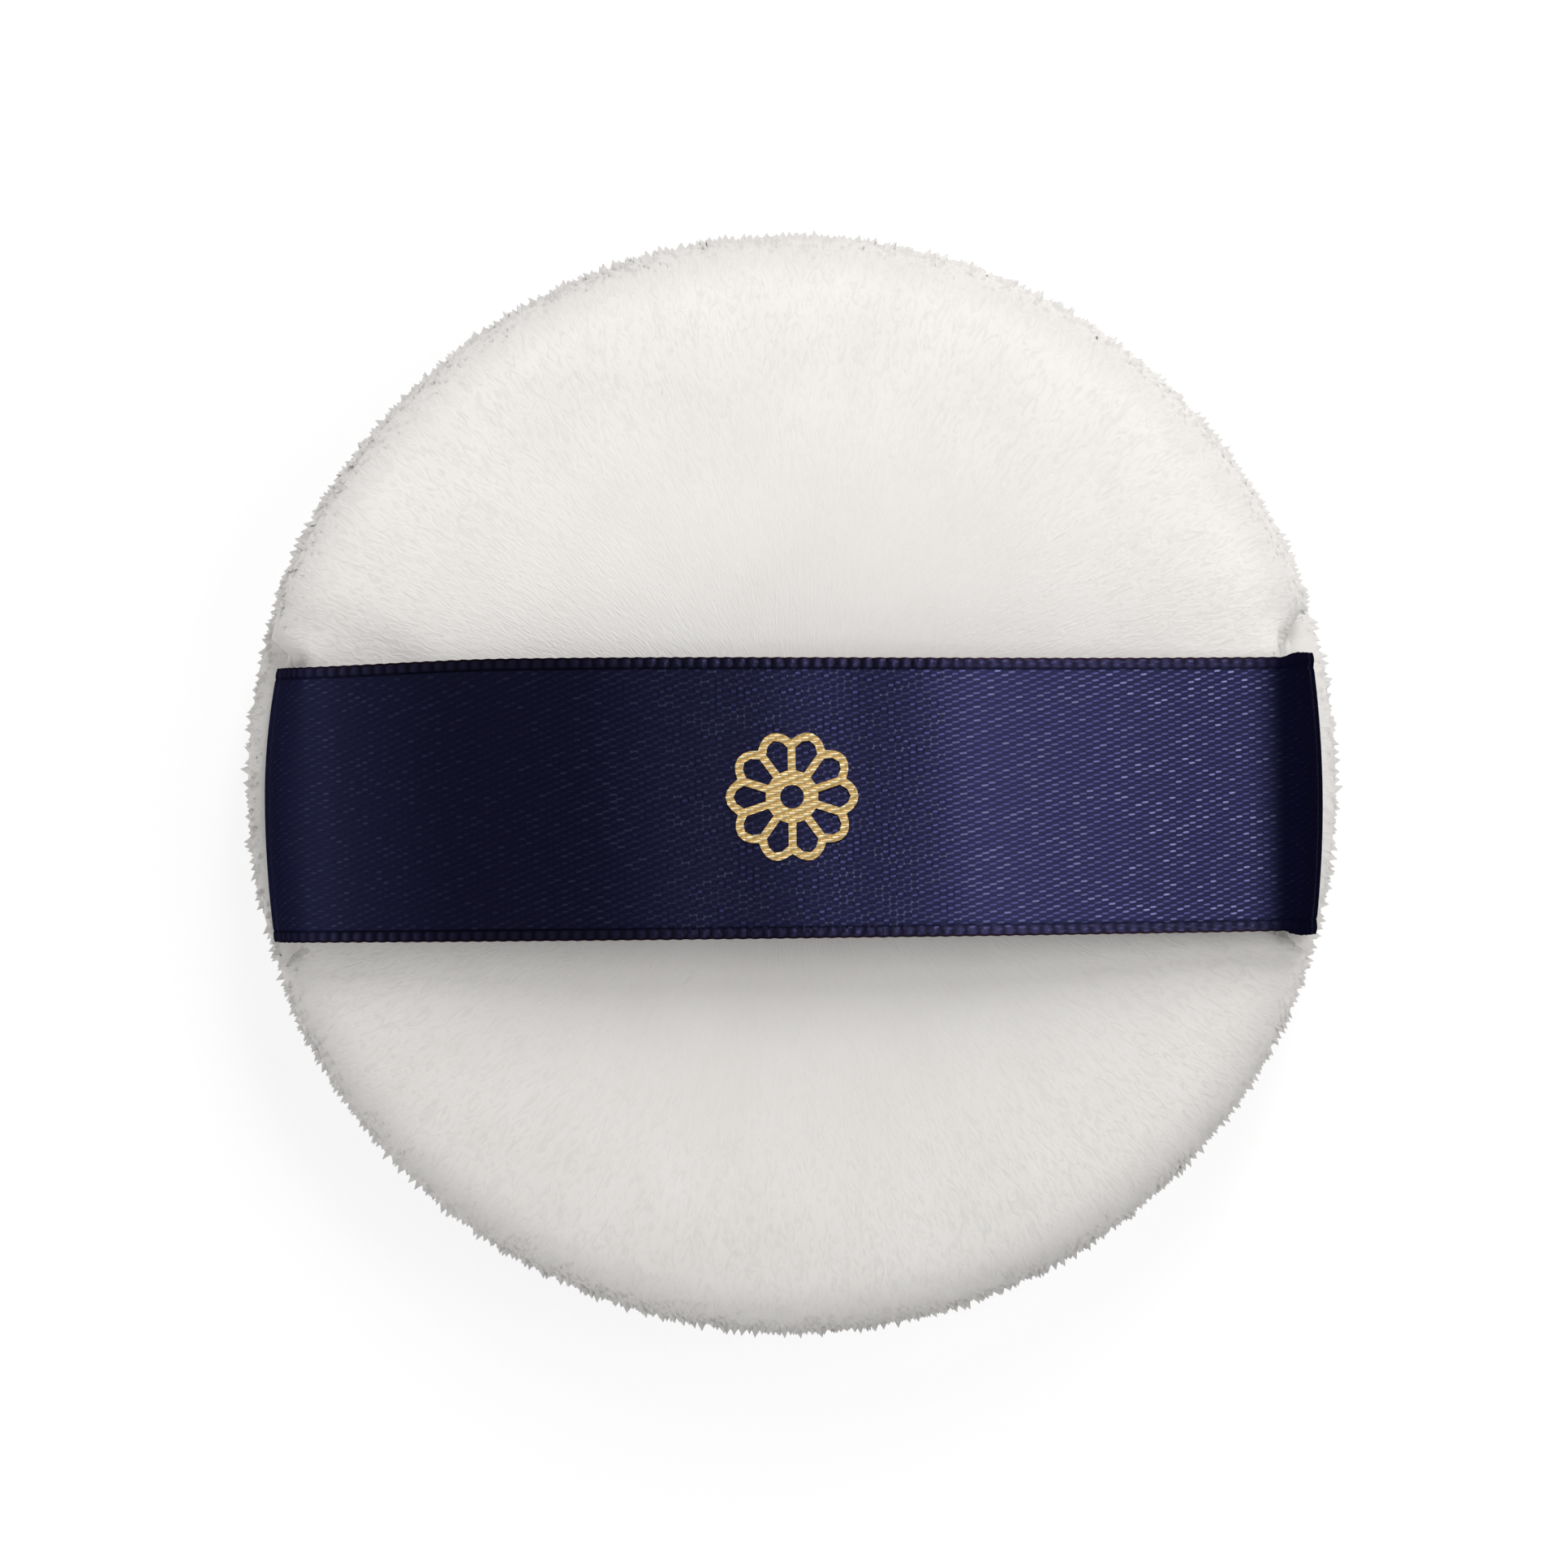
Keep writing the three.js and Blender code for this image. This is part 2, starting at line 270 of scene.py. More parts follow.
def cover_surface(name, points, upward):
    """One cover as a single layer: its dome, and the allowance that turns in flat at the seam."""
    ring = points[edge_ring]
    count = len(ring)
    layers = [points]
    faces = [dome_faces if upward > 0 else dome_faces[:, ::-1]]
    before = edge_ring
    for part in allowance_parts:
        inward = ring.copy()
        inward[:, :2] *= 1 - part * allowance_width / np.hypot(ring[:, 0], ring[:, 1])[:, None]
        inward[:, 2] = 0
        if upward > 0:
            across = np.abs(ring[:, 1] - ribbon_offset) - ribbon_width / 2
            inward[:, 2] = allowance_lift * (1 - smooth(0, 0.0015, across))
        layer = sum(len(part_points) for part_points in layers) + np.arange(count)
        strip = np.stack([before, layer, np.roll(layer, -1), np.roll(before, -1)], 1)
        faces.append(strip if upward > 0 else strip[:, ::-1])
        layers.append(inward)
        before = layer
    placed = np.concatenate(layers)
    placed[:, 2] = np.maximum(placed[:, 2] + seam_height, rest_height)
    mesh = mesh_of(name, placed, np.concatenate(faces))
    mesh.shade_smooth()
    return new_object(name, mesh)


back_cover = cover_surface("back_cover_velour", settled[: side * side], 1)
face_points = np.concatenate([settled, np.zeros((1, 3))])[face_index]
face_cover = cover_surface("working_face_velour", face_points, -1)

# Pile: short upright fibres in small clumps, all over the velour. Each clump is a fine closed spike
# whose shading follows the fabric under it, so that the pile looks soft and only its rim is jagged.
clump_gap = 0.00036
clump_width = 0.00072
clump_length = 0.00066
clump_sink = 0.00024
clumps_per_area = 9.0e6
brush_scale = 260.0
brush_lean = 1.9
stray_lean = 0.22
shortest_share = 0.6
longest_share = 1.4
crown_share = 0.35
wall_level = 0.45
crown_level = 0.95
soft_light_share = 0.8
bare_reach = 0.0330


def new_tree(name, kind, sockets):
    group = bpy.data.node_groups.new(name, kind)
    for socket, (direction, socket_kind) in sockets.items():
        group.interface.new_socket(socket, in_out=direction, socket_type=socket_kind)
    entry = group.nodes.new("NodeGroupInput").outputs
    return group, entry, group.nodes.new("NodeGroupOutput")


pile, entry, result = new_tree(
    "velour_pile",
    "GeometryNodeTree",
    {
        "Fabric": ("INPUT", "NodeSocketGeometry"),
        "Gap": ("INPUT", "NodeSocketFloat"),
        "Width": ("INPUT", "NodeSocketFloat"),
        "Length": ("INPUT", "NodeSocketFloat"),
        "Sink": ("INPUT", "NodeSocketFloat"),
        "Crown": ("INPUT", "NodeSocketFloat"),
        "Lean": ("INPUT", "NodeSocketVector"),
        "Seed": ("INPUT", "NodeSocketInt"),
        "Finish": ("INPUT", "NodeSocketMaterial"),
        "Piled": ("OUTPUT", "NodeSocketGeometry"),
    },
)
bare = add(pile, "GeometryNodeInputNamedAttribute", {"Name": "bare"}, data_type="FLOAT").outputs[0]
roots = add(
    pile,
    "GeometryNodeDistributePointsOnFaces",
    {
        "Mesh": entry["Fabric"],
        "Distance Min": entry["Gap"],
        "Density Max": clumps_per_area,
        "Density Factor": math(pile, "SUBTRACT", 1.0, bare),
        "Seed": entry["Seed"],
    },
    distribute_method="POISSON",
)
normal = roots.outputs["Normal"]
brushed = add(
    pile,
    "ShaderNodeTexNoise",
    {
        "Vector": add(pile, "GeometryNodeInputPosition").outputs[0],
        "Scale": brush_scale,
        "Detail": 2.0,
    },
).outputs["Color"]
brushed = add(
    pile,
    "ShaderNodeVectorMath",
    {0: brushed, 1: (0.5, 0.5, 0.5)},
    operation="SUBTRACT",
).outputs[0]
brushed = add(
    pile,
    "ShaderNodeVectorMath",
    {0: brushed, "Scale": brush_lean},
    operation="SCALE",
).outputs[0]
stray = add(
    pile,
    "FunctionNodeRandomValue",
    {0: (-stray_lean,) * 3, 1: (stray_lean,) * 3, "Seed": entry["Seed"]},
    data_type="FLOAT_VECTOR",
).outputs[0]
growth = normal
for part in (brushed, stray, entry["Lean"]):
    growth = add(pile, "ShaderNodeVectorMath", {0: growth, 1: part}, operation="ADD").outputs[0]
turn = add(pile, "FunctionNodeAlignRotationToVector", {"Vector": growth}, axis="Z").outputs[0]
stem = {"Vertices": 4, "Radius Top": 0.0, "Radius Bottom": 0.6, "Depth": 1.0}
stem = add(pile, "GeometryNodeMeshCone", stem)
stem_place = add(pile, "GeometryNodeInputPosition").outputs[0]
tip = add(pile, "ShaderNodeSeparateXYZ", {0: stem_place}).outputs["Z"]
stem = add(
    pile,
    "GeometryNodeStoreNamedAttribute",
    {"Geometry": stem.outputs[0], "Name": "tip", "Value": tip},
    data_type="FLOAT",
    domain="POINT",
)
vary = add(
    pile,
    "FunctionNodeRandomValue",
    {
        2: shortest_share,
        3: longest_share,
        "Seed": math(pile, "ADD", entry["Seed"], 1.0),
    },
    data_type="FLOAT",
).outputs[1]
level = math(pile, "ABSOLUTE", add(pile, "ShaderNodeSeparateXYZ", {0: normal}).outputs["Z"])
worn = ramp(pile, level, wall_level, crown_level, 1.0, entry["Crown"])
vary = math(pile, "MULTIPLY", vary, worn)
size = add(
    pile,
    "ShaderNodeCombineXYZ",
    {0: entry["Width"], 1: entry["Width"], 2: math(pile, "MULTIPLY", entry["Length"], vary)},
).outputs[0]
sink = math(pile, "MULTIPLY", entry["Sink"], -1.0)
sunk = add(pile, "ShaderNodeVectorMath", {0: normal, "Scale": sink}, operation="SCALE").outputs[0]
roots = add(
    pile,
    "GeometryNodeSetPosition",
    {"Geometry": roots.outputs["Points"], "Offset": sunk},
)
roots = add(
    pile,
    "GeometryNodeStoreNamedAttribute",
    {"Geometry": roots.outputs[0], "Name": "root_normal", "Value": normal},
    data_type="FLOAT_VECTOR",
    domain="POINT",
)
clumps = add(
    pile,
    "GeometryNodeInstanceOnPoints",
    {"Points": roots.outputs[0], "Instance": stem.outputs[0], "Rotation": turn, "Scale": size},
)
clumps = add(pile, "GeometryNodeRealizeInstances", {"Geometry": clumps.outputs[0]})
joined = add(pile, "GeometryNodeJoinGeometry")
pile.links.new(clumps.outputs[0], joined.inputs[0])
pile.links.new(entry["Fabric"], joined.inputs[0])
finished = add(
    pile,
    "GeometryNodeSetMaterial",
    {"Geometry": joined.outputs[0], "Material": entry["Finish"]},
)
pile.links.new(finished.outputs[0], result.inputs[0])

strand_width = 0.00060
strand_stretch = 2.4
strand_depth = 0.00016
mottle_size = 0.0060
rim_zone = (0.0160, 0.0360)
side_zone = (0.0355, 0.0392)
velour_pale = (0.93, 0.907, 0.878, 1)
velour_deep = (0.84, 0.813, 0.784, 1)
# Painted shade deep in the pile, at the clumps' roots.
pile_root_shadow = (0.55, 0.52, 0.49, 1)
pile_parting = (0.60, 0.58, 0.55, 1)
side_shadow = (0.68, 0.66, 0.64, 1)

velour_shade, entry, result = new_tree(
    "fibre_shade",
    "ShaderNodeTree",
    {
        "Place": ("INPUT", "NodeSocketVector"),
        "Fibre": ("INPUT", "NodeSocketFloat"),
        "Stretch": ("INPUT", "NodeSocketFloat"),
        "Patch": ("INPUT", "NodeSocketFloat"),
        "Streak": ("OUTPUT", "NodeSocketFloat"),
        "Mottle": ("OUTPUT", "NodeSocketFloat"),
        "Rim": ("OUTPUT", "NodeSocketFloat"),
        "Side": ("OUTPUT", "NodeSocketFloat"),
    },
)
split = add(velour_shade, "ShaderNodeSeparateXYZ", {0: entry["Place"]}).outputs
reach = add(velour_shade, "ShaderNodeCombineXYZ", {0: split["X"], 1: split["Y"]}).outputs[0]
reach = add(velour_shade, "ShaderNodeVectorMath", {0: reach}, operation="LENGTH").outputs["Value"]
turned = math(velour_shade, "ARCTAN2", split["Y"], split["X"])
round_rim = math(velour_shade, "MULTIPLY", turned, cover_radius)
round_rim = math(velour_shade, "DIVIDE", round_rim, entry["Fibre"])
long_fibre = math(velour_shade, "MULTIPLY", entry["Fibre"], entry["Stretch"])
outward = math(velour_shade, "DIVIDE", reach, long_fibre)
upward = math(velour_shade, "DIVIDE", split["Z"], long_fibre)
strand = add(velour_shade, "ShaderNodeCombineXYZ", {0: round_rim, 1: outward, 2: upward}).outputs[0]
fine = add(
    velour_shade,
    "ShaderNodeTexNoise",
    {"Vector": strand, "Scale": 1.0, "Detail": 2.5, "Distortion": 1.8},
)
broad = add(
    velour_shade,
    "ShaderNodeTexNoise",
    {
        "Vector": entry["Place"],
        "Scale": math(velour_shade, "DIVIDE", 1.0, entry["Patch"]),
        "Detail": 4.0,
    },
)
rim = ramp(velour_shade, reach, *rim_zone, soft=True)
side_wall = ramp(velour_shade, reach, *side_zone, soft=True)
velour_shade.links.new(fine.outputs[0], result.inputs["Streak"])
velour_shade.links.new(broad.outputs[0], result.inputs["Mottle"])
velour_shade.links.new(rim, result.inputs["Rim"])
velour_shade.links.new(side_wall, result.inputs["Side"])

velour, tree, shader = new_finish(
    "ivory_velour",
    {
        "Roughness": 0.95,
        "Sheen Weight": 0.08,
        "Sheen Roughness": 0.5,
        "Specular IOR Level": 0.25,
    },
)
place = add(tree, "ShaderNodeTexCoord").outputs["Object"]
fibres = add(
    tree,
    "ShaderNodeGroup",
    {
        "Place": place,
        "Fibre": strand_width,
        "Stretch": strand_stretch,
        "Patch": mottle_size,
    },
    node_tree=velour_shade,
).outputs
tip = add(tree, "ShaderNodeAttribute", attribute_name="tip").outputs["Fac"]
shade = blend_colors(tree, fibres["Mottle"], velour_deep, velour_pale)
# Painted shade: toward the roots of the clumps, and on the fabric between them, the colour darkens as
# if shade lay deep in the pile.
painted_root_shade = blend_colors(tree, 0.12, shade, pile_root_shadow)
share = math(tree, "ADD", 0.45, math(tree, "MULTIPLY", tip, 0.55))
shade = blend_colors(tree, share, painted_root_shade, shade)
parted = ramp(tree, fibres["Streak"], 0.54, 0.30)
parted_share = math(tree, "ADD", 0.03, math(tree, "MULTIPLY", fibres["Rim"], 0.25))
parted = math(tree, "MULTIPLY", parted, parted_share)
shade = blend_colors(tree, parted, shade, pile_parting)
# Painted shade: the colour darkens toward a grey on the side wall, all round the rim.
side_share = math(tree, "MULTIPLY", fibres["Side"], 0.70)
shade = blend_colors(tree, side_share, shade, side_shadow)
tree.links.new(shade, shader.inputs["Base Color"])
tree.links.new(bump(tree, fibres["Streak"], strand_depth, 0.4), shader.inputs["Normal"])


def set_input(modifier, name, value):
    socket = modifier.node_group.interface.items_tree[name]
    modifier[socket.identifier] = value


def grow_pile(cover, lean, seed):
    """Gives a cover its backing's thickness and its pile, as one plain mesh.

    No pile grows inside, under the ribbon's ends or in the creases beside them.
    """
    inside = cover.vertex_groups.new(name="bare")
    count = side * side
    points = np.array([vertex.co for vertex in cover.data.vertices])
    hidden = np.arange(len(points)) >= count
    across = np.abs(points[:, 1] - ribbon_offset) - ribbon_width / 2
    above_seam = points[:, 2] - seam_height
    at_end = np.abs(points[:, 0]) > bare_reach
    under = at_end & (across < 0.0002) & (above_seam > -0.0012)
    crease = at_end & (across < 0.0030) & (above_seam > -0.0010) & (above_seam < 0.0026)
    chosen = [int(i) for i in np.flatnonzero(hidden | under | crease)]
    inside.add(chosen, 1.0, "REPLACE")
    shell = cover.modifiers.new("backing", "SOLIDIFY")
    shell.thickness = backing_thickness
    shell.offset = -1
    shell.shell_vertex_group = "bare"
    fur = cover.modifiers.new("pile", "NODES")
    fur.node_group = pile
    set_input(fur, "Gap", clump_gap)
    set_input(fur, "Width", clump_width)
    set_input(fur, "Length", clump_length)
    set_input(fur, "Sink", clump_sink)
    set_input(fur, "Crown", crown_share)
    set_input(fur, "Lean", lean)
    set_input(fur, "Seed", seed)
    set_input(fur, "Finish", velour)
    plain_copy(cover)
    mesh = cover.data
    mesh.shade_smooth()
    normals = np.zeros((len(mesh.vertices), 3), np.float32)
    mesh.attributes["root_normal"].data.foreach_get("vector", normals.ravel())
    piled = np.linalg.norm(normals, axis=1) > 0.5
    normals[piled, 2] += soft_light_share * (1 - np.abs(normals[piled, 2]))
    normals[piled] /= np.linalg.norm(normals[piled], axis=1)[:, None]
    mesh.normals_split_custom_set_from_vertices(normals)
    mesh.attributes.remove(mesh.attributes["root_normal"])


grow_pile(back_cover, (0.15, -0.30, 0.0), 3)
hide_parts("back_cover")
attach(back_cover, "puff")

grow_pile(face_cover, (0.1, -0.1, 0.0), 8)
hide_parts("working_face_cover")
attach(face_cover, "puff")

# Sewing thread: white two-ply polyester. The needle and bobbin threads run round the allowances
# inside, a ladder stitch closes the turning gap in the seam's groove, and two rows tack the ribbon.
thread_twist = 0.0004
thread_depth = 0.00006
thread_shadow = (0.70, 0.68, 0.64, 1)
thread_light = (0.90, 0.89, 0.86, 1)

thread, tree, shader = new_finish("white_thread", {"Roughness": 0.6, "Sheen Weight": 0.2})
place = add(tree, "ShaderNodeTexCoord").outputs["Object"]
twist = add(
    tree,
    "ShaderNodeTexWave",
    {"Vector": place, "Scale": 1 / thread_twist / 20, "Distortion": 1.5, "Detail": 1.0},
    bands_direction="DIAGONAL",
).outputs["Fac"]
shade = blend_colors(tree, twist, thread_shadow, thread_light)
tree.links.new(shade, shader.inputs["Base Color"])
tree.links.new(bump(tree, twist, thread_depth), shader.inputs["Normal"])
for name in (
    "seam_needle_thread",
    "seam_bobbin_thread",
    "closing_thread",
    "ribbon_tack_left",
    "ribbon_tack_right",
):
    finish_node(name, thread)

# Ribbon: one length of navy satin ribbon, 20 mm wide, with a woven edge on both sides. Its ends are
# caught in the side seams, and it bows up over the back as a finger loop.
ribbon_reach = 0.0379
ribbon_lean = 0.0004
ribbon_rise = 0.0020
shoulder_radius = 0.0055
seam_bend_radius = 0.0006
level_length = 0.0108
span_slope = np.radians(22)
end_bow = 0.0006
tab_length = 0.0044
end_flare = 0.00034
end_gather = 0.00040
edge_slant = 0.00048
right_reach = 0.00026
edge_band = 0.00075
edge_rib_pitch = 0.0009
edge_rib_height = 0.000016
edge_rib_width = 0.000015
edge_bead_height = 0.00005
edge_groove_width = 0.00008
edge_step = 0.0004
surface_allowance = 0.00004
ripple_length = 0.0140
ripple_height = 0.00005
weave_pitch = 0.00015


def arc(center, radius, start, end, count):
    angles = np.linspace(start, end, count)
    return np.stack([center[0] + radius * np.cos(angles), center[1] + radius * np.sin(angles)], 1)


shoulder_x = ribbon_reach - ribbon_lean - shoulder_radius
span_reach = shoulder_x + shoulder_radius * np.sin(span_slope)
span_end = ribbon_rise + shoulder_radius * np.cos(span_slope)
fall = np.tan(span_slope) / (span_reach - level_length / 2) / 2
span_height = span_end + fall * (span_reach - level_length / 2) ** 2
span_x = np.linspace(0, span_reach, 400)
span_z = span_height - fall * np.maximum(span_x - level_length / 2, 0) ** 2
tab_height = ribbon_thickness / 2
bend_center = (ribbon_reach - seam_bend_radius, tab_height + seam_bend_radius)
half_path = np.concatenate(
    [
        np.stack([span_x, span_z], 1),
        arc((shoulder_x, ribbon_rise), shoulder_radius, np.pi / 2 - span_slope, 0, 60),
        arc(bend_center, seam_bend_radius, 0, -np.pi / 2, 24),
        [[bend_center[0] - tab_length, tab_height]],
    ]
)
half_length = np.append(0, np.cumsum(np.hypot(*np.diff(half_path, axis=0).T)))
along_count = int(round(half_length[-1] / weave_pitch))
along = np.linspace(-half_length[-1], half_length[-1], 2 * along_count + 1)
path_x = np.sign(along) * np.interp(np.abs(along), half_length, half_path[:, 0])
path_z = np.interp(np.abs(along), half_length, half_path[:, 1])
slope = np.stack([np.gradient(path_x), np.gradient(path_z)], 1)
slope /= np.linalg.norm(slope, axis=1)[:, None]

half_width = ribbon_width / 2
border = half_width - edge_band
across = np.concatenate(
    [
        np.linspace(-half_width, -border, 8)[:-1],
        np.linspace(-border, -border + edge_step, 4)[:-1],
        np.linspace(-border + edge_step, border - edge_step, 24)[:-1],
        np.linspace(border - edge_step, border, 4)[:-1],
        np.linspace(border, half_width, 8),
    ]
)
u, v = np.meshgrid(along, across, indexing="ij")
to_edge = half_width - np.abs(v)
in_band = 1 - smooth(edge_band * 0.85, edge_band, to_edge)
rib = np.cos(2 * np.pi * u / edge_rib_pitch)
crown = np.sin(np.pi * np.clip(to_edge / edge_band, 0, 1))
relief = in_band * crown * (edge_bead_height + edge_rib_height * rib)
relief -= edge_bead_height * np.exp(-(((to_edge - edge_band) / edge_groove_width) ** 2))
widen = in_band * edge_rib_width * rib * np.sign(v)
ripple = ripple_height * np.cos(2 * np.pi * (u + 0.1 * v + 0.0005) / ripple_length)
relief += ripple * (1 - smooth(0.020, 0.032, np.abs(u)))
x = path_x[:, None] - slope[:, 1:] * relief
z = path_z[:, None] + slope[:, :1] * relief
outward = smooth(span_reach, ribbon_reach, np.abs(x))
x = x + right_reach * smooth(0.0300, 0.0370, x)
corner_bow = end_bow * (1 + 0.7 * (x < 0) * (v > 0))
x = x - np.sign(x) * corner_bow * outward * (2 * v / ribbon_width) ** 2
widen += end_flare * in_band * smooth(0.0350, 0.0362, x) * np.sign(v)
widen -= end_gather * smooth(0.0200, 0.0370, -x) * smooth(-1, 1, v / half_width)
widen -= edge_slant * smooth(-0.0200, 0.0300, x) * smooth(-1, 1, v / half_width)
points = np.stack([x, v + widen + ribbon_offset, z + seam_height], 2).reshape(-1, 3)
columns = len(across)
corner = (np.arange(len(along) - 1)[:, None] * columns + np.arange(columns - 1)).ravel()
faces = np.stack([corner, corner + columns, corner + columns + 1, corner + 1], 1)
mesh = mesh_of("satin_ribbon", points, faces)
weave_map = mesh.uv_layers.new(name="Weave")
loops = np.empty(len(mesh.loops), np.int32)
mesh.loops.foreach_get("vertex_index", loops)
flat_place = np.stack([u.ravel(), v.ravel()], 1)[loops] * 1000
weave_map.data.foreach_set("uv", flat_place.astype(np.float32).ravel())
mesh.shade_smooth()
ribbon = new_object("satin_ribbon", mesh)
body = ribbon.modifiers.new("body", "SOLIDIFY")
body.thickness = ribbon_thickness - surface_allowance
body.offset = 0
plain_copy(ribbon)

weave, entry, result = new_tree(
    "satin_floats",
    "ShaderNodeTree",
    {
        "Place": ("INPUT", "NodeSocketVector"),
        "Row": ("INPUT", "NodeSocketFloat"),
        "Repeat": ("INPUT", "NodeSocketFloat"),
        "Shear": ("INPUT", "NodeSocketFloat"),
        "Slant": ("INPUT", "NodeSocketFloat"),
        "Rise": ("INPUT", "NodeSocketFloat"),
        "Tilt": ("INPUT", "NodeSocketFloat"),
        "Float": ("OUTPUT", "NodeSocketFloat"),
        "Height": ("OUTPUT", "NodeSocketFloat"),
        "Glint": ("OUTPUT", "NodeSocketFloat"),
    },
)
split = add(weave, "ShaderNodeSeparateXYZ", {0: entry["Place"]})
rows = math(weave, "MULTIPLY", split.outputs["X"], entry["Shear"])
rows = math(weave, "DIVIDE", math(weave, "ADD", split.outputs["Y"], rows), entry["Row"])
row_number = math(weave, "FLOOR", rows)
turns = math(weave, "DIVIDE", split.outputs["X"], entry["Repeat"])
turns = math(weave, "SUBTRACT", turns, math(weave, "MULTIPLY", row_number, 0.5))
float_number = math(weave, "FLOOR", turns)
along_share = math(weave, "SUBTRACT", math(weave, "FRACT", turns), 0.5)
float_share = ramp(weave, math(weave, "ABSOLUTE", along_share), 0.33, 0.12, soft=True)
along_float = math(weave, "MULTIPLY", along_share, entry["Repeat"])
row_share = math(weave, "SUBTRACT", math(weave, "FRACT", rows), 0.5)
slanted = math(weave, "DIVIDE", math(weave, "MULTIPLY", along_float, entry["Slant"]), entry["Row"])
row_share = math(weave, "ABSOLUTE", math(weave, "SUBTRACT", row_share, slanted))
across_share = ramp(weave, row_share, 0.42, 0.12, soft=True)
number = add(weave, "ShaderNodeCombineXYZ", {0: float_number, 1: row_number}).outputs[0]
glint = add(weave, "ShaderNodeTexWhiteNoise", {"Vector": number}, noise_dimensions="2D")
glint = glint.outputs["Value"]
tilt = math(weave, "MULTIPLY", math(weave, "SUBTRACT", glint, 0.5), entry["Tilt"])
height = math(weave, "MULTIPLY", math(weave, "MULTIPLY", along_float, tilt), float_share)
height = math(weave, "ADD", height, math(weave, "MULTIPLY", across_share, entry["Rise"]))
weave.links.new(math(weave, "MULTIPLY", across_share, float_share), result.inputs["Float"])
weave.links.new(height, result.inputs["Height"])
weave.links.new(glint, result.inputs["Glint"])

float_row = 0.2455
float_repeat = 1.012
row_shear = 0.092
float_slant = 0.19
# Where the floats' painted light fades toward the ribbon's left end, in mm along it.
dimmed_float_end = (-20.0, -8.0)
satin_edge = 9.26
cut_edge = (9.82, 9.92)
fold_zone = (32.8, 36.0)
satin_gap = (0.0300, 0.0305, 0.088, 1)
satin_float = (0.057, 0.058, 0.160, 1)
satin_glint = (0.13, 0.137, 0.265, 1)
edge_gap = (0.020, 0.018, 0.044, 1)
edge_rib = (0.044, 0.043, 0.105, 1)
edge_groove = (0.008, 0.008, 0.024, 1)
cut_rim = (0.024, 0.011, 0.019, 1)
fold_shadow = (0.003, 0.003, 0.012, 1)


def woven(tree, place, rise, tilt):
    """The satin's floats at a place in millimetres: how far they stand up and how they lean."""
    inputs = {
        "Place": place,
        "Row": float_row,
        "Repeat": float_repeat,
        "Shear": row_shear,
        "Slant": float_slant,
        "Rise": rise,
        "Tilt": tilt,
    }
    return add(tree, "ShaderNodeGroup", inputs, node_tree=weave).outputs


satin, tree, shader = new_finish(
    "navy_satin",
    {
        "Anisotropic": 1.0,
        "Anisotropic Rotation": 0.25,
        "Specular Tint": (0.1, 0.1, 0.15, 1),
        "IOR": 1.0,
    },
)
place = add(tree, "ShaderNodeUVMap", uv_map="Weave").outputs[0]
floats = woven(tree, place, 0.006, 0.13)
split = add(tree, "ShaderNodeSeparateXYZ", {0: place}).outputs
# Painted shade toward the ribbon's left end: the floats' lighter colour and their glints fade to 35 %
# there, and their bump and gloss contrast fade with them.
float_light_and_relief = ramp(tree, split["X"], *dimmed_float_end, 0.35, 1.0)
float_mask = math(tree, "MULTIPLY", floats["Float"], float_light_and_relief)
lit = math(tree, "MULTIPLY", float_mask, math(tree, "POWER", floats["Glint"], 4.0))
shade = blend_colors(tree, float_mask, satin_gap, satin_float)
shade = blend_colors(tree, lit, shade, satin_glint)
to_middle = math(tree, "ABSOLUTE", split["Y"])
woven_edge = ramp(tree, to_middle, satin_edge - 0.04, satin_edge + 0.04)
pearl = math(tree, "MULTIPLY", split["X"], 2 * np.pi / (edge_rib_pitch * 1000))
pearl = math(tree, "ADD", 0.5, math(tree, "MULTIPLY", math(tree, "COSINE", pearl), 0.5))
pearl = blend_colors(tree, pearl, edge_gap, edge_rib)
shade = blend_colors(tree, woven_edge, shade, pearl)
groove = math(tree, "ABSOLUTE", math(tree, "SUBTRACT", to_middle, satin_edge))
groove = ramp(tree, groove, 0.19, 0.07)
rim_line = ramp(tree, to_middle, *cut_edge)
shade = blend_colors(tree, math(tree, "MULTIPLY", groove, 0.75), shade, edge_groove)
shade = blend_colors(tree, rim_line, shade, cut_rim)
# Painted shade: the colour darkens toward the ribbon's folded ends, more at the right end than at the
# left.
folded = ramp(tree, math(tree, "ABSOLUTE", split["X"]), *fold_zone, soft=True)
right_end_extra_shade = math(tree, "MULTIPLY", math(tree, "SIGN", split["X"]), 0.155)
fold_share = math(tree, "MULTIPLY", folded, math(tree, "ADD", 0.815, right_end_extra_shade))
shade = blend_colors(tree, fold_share, shade, fold_shadow)
tree.links.new(shade, shader.inputs["Base Color"])
silky = math(tree, "SUBTRACT", 1.0, math(tree, "MULTIPLY", folded, 0.7))
tree.links.new(silky, shader.inputs["Metallic"])
gloss = ramp(tree, float_mask, 0.0, 1.0, 0.60, 0.38)
gloss = math(tree, "SUBTRACT", gloss, math(tree, "MULTIPLY", lit, 0.08))
tree.links.new(gloss, shader.inputs["Roughness"])
tangent = add(tree, "ShaderNodeTangent", direction_type="UV_MAP", uv_map="Weave").outputs[0]
tree.links.new(tangent, shader.inputs["Tangent"])
weave_height = math(tree, "MULTIPLY", floats["Height"], float_light_and_relief)
tree.links.new(bump(tree, weave_height, 0.001, 0.8), shader.inputs["Normal"])
ribbon.data.materials.append(satin)

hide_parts("ribbon_strap", "ribbon_end_left", "ribbon_end_right")
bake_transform(ribbon)

# Foil rosette: a small flower in line work, stamped on the middle of the ribbon in gold foil. It
# lies on the tops of the weave's floats, whose rows show through it.
foil_bright = (1.0, 0.88, 0.58, 1)
foil_dark = (0.78, 0.52, 0.20, 1)

